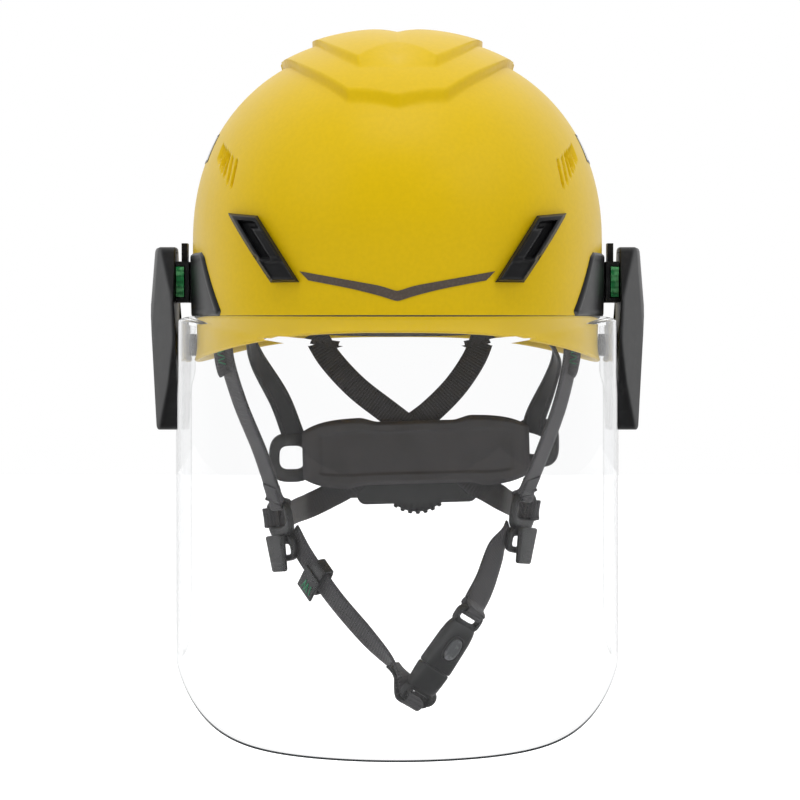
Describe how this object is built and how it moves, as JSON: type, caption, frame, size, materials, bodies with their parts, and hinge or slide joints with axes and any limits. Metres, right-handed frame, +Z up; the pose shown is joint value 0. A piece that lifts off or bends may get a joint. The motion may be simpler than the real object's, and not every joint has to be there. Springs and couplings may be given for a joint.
{
  "type": "hard hat",
  "caption": "Climbing-style hard hat with a clear swing-up face shield on side arms, webbing chin strap, nape ratchet and headband.",
  "frame": {"origin": "centre of the head seat, level with the lowest point of the brow band", "axes": "+Z up, the front of the hat faces -Y, +X is the wearer's left"},
  "size_m": [0.2692, 0.3104, 0.3797],
  "materials": {
    "shell_yellow": "satin moulded",
    "reflective": "retroreflective film",
    "marker_film": "film",
    "green_plastic": "satin",
    "clear_lens": "clear polycarbonate",
    "steel": "satin",
    "webbing": "woven",
    "foam_cloth": "knit over foam",
    "pad_rubber": "soft matt",
    "grey_plastic": "satin",
    "cap_rubber": "matt",
    "pinion_plastic": "natural acetal",
    "band_plastic": "satin",
    "black_plastic": "fine moulded texture"
  },
  "bodies": {
    "shell": {"shell": "shell_yellow", "front_reflective_strip": "reflective", "side_marker_left": "marker_film", "side_marker_right": "marker_film", "lamp_clip_front_left": "black_plastic", "lamp_clip_front_right": "black_plastic", "lamp_clip_rear_left": "black_plastic", "lamp_clip_rear_right": "black_plastic", "slot_adapter_left": "black_plastic", "slot_adapter_right": "black_plastic", "pivot_block_left": "black_plastic", "pivot_block_right": "black_plastic", "pivot_pins": "steel", "strap_anchors": "black_plastic", "crown_strap_a": "webbing", "crown_strap_b": "webbing", "crown_pad": "foam_cloth", "headband": "band_plastic", "headband_hangers": "band_plastic", "brow_pad": "foam_cloth", "headband_rivets": "steel", "chin_strap_front_left": "webbing", "chin_strap_front_right": "webbing", "chin_strap_rear_left": "webbing", "chin_strap_rear_right": "webbing", "chin_strap_lower_left": "webbing", "chin_strap_lower_right": "webbing", "strap_keeper": "black_plastic", "divider_left": "black_plastic", "divider_right": "black_plastic", "buckle_socket": "black_plastic", "buckle_spring": "steel"},
    "visor": {"visor_lens": "clear_lens", "arm_plate_left": "black_plastic", "arm_plate_right": "black_plastic", "arm_cover_left": "black_plastic", "arm_cover_right": "black_plastic", "lens_screws": "steel", "lens_spacers": "black_plastic", "lens_nuts": "black_plastic"},
    "tab_left": {"release_tab_left": "green_plastic"},
    "tab_right": {"release_tab_right": "green_plastic"},
    "nape": {"nape_arm_left": "band_plastic", "nape_arm_right": "band_plastic", "nape_pad": "pad_rubber", "ratchet_housing": "black_plastic", "ratchet_cover": "black_plastic"},
    "knob": {"ratchet_knob": "black_plastic", "ratchet_pinion": "pinion_plastic", "knob_screw": "steel"},
    "rack_l": {"rack_left": "band_plastic"},
    "rack_r": {"rack_right": "band_plastic"},
    "lever_left": {"cam_lever_left": "black_plastic"},
    "lever_right": {"cam_lever_right": "black_plastic"},
    "plug": {"buckle_plug": "black_plastic", "strap_end_cap": "cap_rubber"},
    "button": {"buckle_button": "grey_plastic"}
  },
  "joints": [
    {"name": "visor_lift", "type": "hinge", "parent": "shell", "child": "visor", "pos_m": [0, 0, 0.034], "axis": [-1, 0, 0], "range_deg": [0, 90]},
    {"name": "release_left", "type": "slide", "parent": "shell", "child": "tab_left", "axis": [0, 1, 0], "range_m": [0, 0.0024], "stiffness_N_per_m": 400, "springref_m": -0.001},
    {"name": "release_right", "type": "slide", "parent": "shell", "child": "tab_right", "axis": [0, 1, 0], "range_m": [0, 0.0024], "stiffness_N_per_m": 400, "springref_m": -0.001},
    {"name": "nape_swing", "type": "hinge", "parent": "shell", "child": "nape", "pos_m": [0, 0.022, 0.018], "axis": [1, 0, 0], "range_deg": [-6, 10], "deforming": ["chin_strap_rear_left", "chin_strap_rear_right"]},
    {"name": "ratchet_turn", "type": "hinge", "parent": "nape", "child": "knob", "pos_m": [0.01109, 0.1126, -0.07497], "axis": [0, 1, 0], "range_deg": [-90, 90]},
    {"name": "rack_slide_right", "type": "slide", "parent": "nape", "child": "rack_r", "axis": [0.9996, 0, 0.0279], "range_m": [-0.0115, 0.0115]},
    {"name": "rack_slide_left", "type": "slide", "parent": "nape", "child": "rack_l", "axis": [0.9996, 0, 0.0279], "range_m": [-0.0115, 0.0115]},
    {"name": "lever_open_left", "type": "hinge", "parent": "shell", "child": "lever_left", "pos_m": [-0.06663, -0.00574, -0.10473], "axis": [-0.5523, 0.829, -0.0875], "range_deg": [0, 60]},
    {"name": "lever_open_right", "type": "hinge", "parent": "shell", "child": "lever_right", "pos_m": [0.07113, -0.00574, -0.10033], "axis": [-0.5523, -0.829, 0.0875], "range_deg": [0, 60]},
    {"name": "plug_out", "type": "slide", "parent": "shell", "child": "plug", "axis": [-0.5592, 0, -0.829], "range_m": [0, 0.022], "deforming": ["chin_strap_lower_left"]},
    {"name": "buckle_press", "type": "slide", "parent": "shell", "child": "button", "axis": [-0.4873, 0.809, 0.3287], "range_m": [0, 0.0015], "stiffness_N_per_m": 600, "springref_m": -0.001}
  ],
  "couplings": [
    {"joint": "rack_slide_right", "follows": "ratchet_turn", "m_per_rad": 0.0072},
    {"joint": "rack_slide_left", "follows": "ratchet_turn", "m_per_rad": -0.0072}
  ]
}
